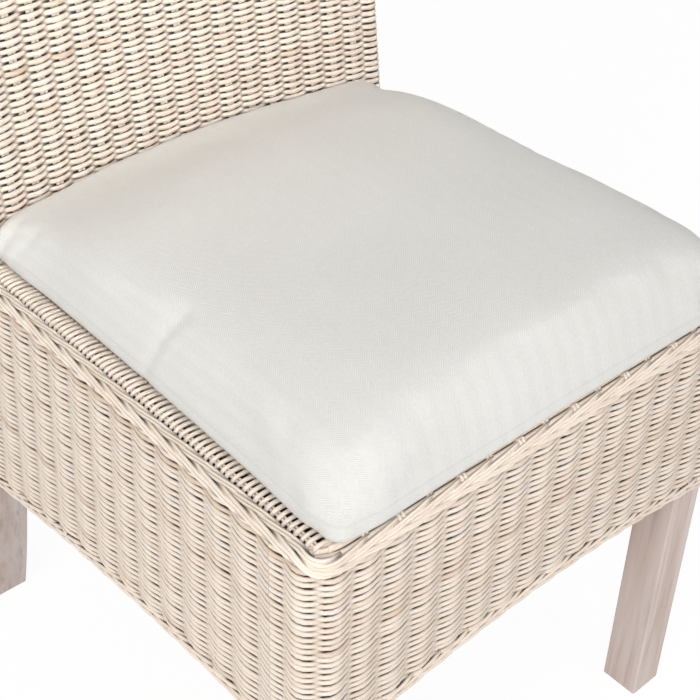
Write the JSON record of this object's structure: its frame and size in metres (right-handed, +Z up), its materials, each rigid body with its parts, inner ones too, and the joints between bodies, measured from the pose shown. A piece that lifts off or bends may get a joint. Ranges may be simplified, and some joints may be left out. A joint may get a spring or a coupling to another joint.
{
  "type": "wicker dining chair",
  "caption": "Armless wicker dining chair: wooden frame with raked rear legs, woven cane seat, aprons and hollowed high back, and a loose cotton seat cushion.",
  "frame": {"origin": "on the floor, under the middle of the chair's bounding box", "axes": "+Z up, the seat faces -Y, the sitter's left is +X"},
  "size_m": [0.476, 0.55, 0.937],
  "materials": {
    "leg_wood": "whitewashed, matt",
    "frame_wood": "plain, matt",
    "woven_cane": "whitewashed cane, satin",
    "stake_cane": "whitewashed cane, satin",
    "border_cane": "whitewashed cane, satin",
    "cushion_cotton": "herringbone cotton, matt"
  },
  "bodies": {
    "chair": {"front_right_leg": "leg_wood", "front_left_leg": "leg_wood", "rear_right_post": "leg_wood", "rear_left_post": "leg_wood", "front_seat_rail": "frame_wood", "rear_seat_rail": "frame_wood", "right_seat_rail": "frame_wood", "left_seat_rail": "frame_wood", "lower_back_rail": "frame_wood", "top_back_rail": "frame_wood", "front_apron": "woven_cane", "right_apron": "woven_cane", "left_apron": "woven_cane", "rear_apron": "woven_cane", "back_front_panel": "woven_cane", "back_rear_panel": "woven_cane", "right_back_edge": "woven_cane", "left_back_edge": "woven_cane", "seat_deck": "woven_cane", "front_apron_stakes": "stake_cane", "right_apron_stakes": "stake_cane", "left_apron_stakes": "stake_cane", "rear_apron_stakes": "stake_cane", "back_front_stakes": "stake_cane", "back_rear_stakes": "stake_cane", "seat_warps": "stake_cane", "front_plait": "border_cane", "right_plait": "border_cane", "left_plait": "border_cane", "front_rim_wrap": "border_cane", "right_rim_wrap": "border_cane", "left_rim_wrap": "border_cane", "crest_border": "border_cane", "front_hem": "border_cane", "right_hem": "border_cane", "left_hem": "border_cane", "rear_hem": "border_cane"},
    "cushion": {"seat_cushion": "cushion_cotton"}
  },
  "joints": [
    {"name": "cushion_lift", "type": "slide", "parent": "chair", "child": "cushion", "axis": [0, 0, 1], "range_m": [0, 0.12]}
  ]
}
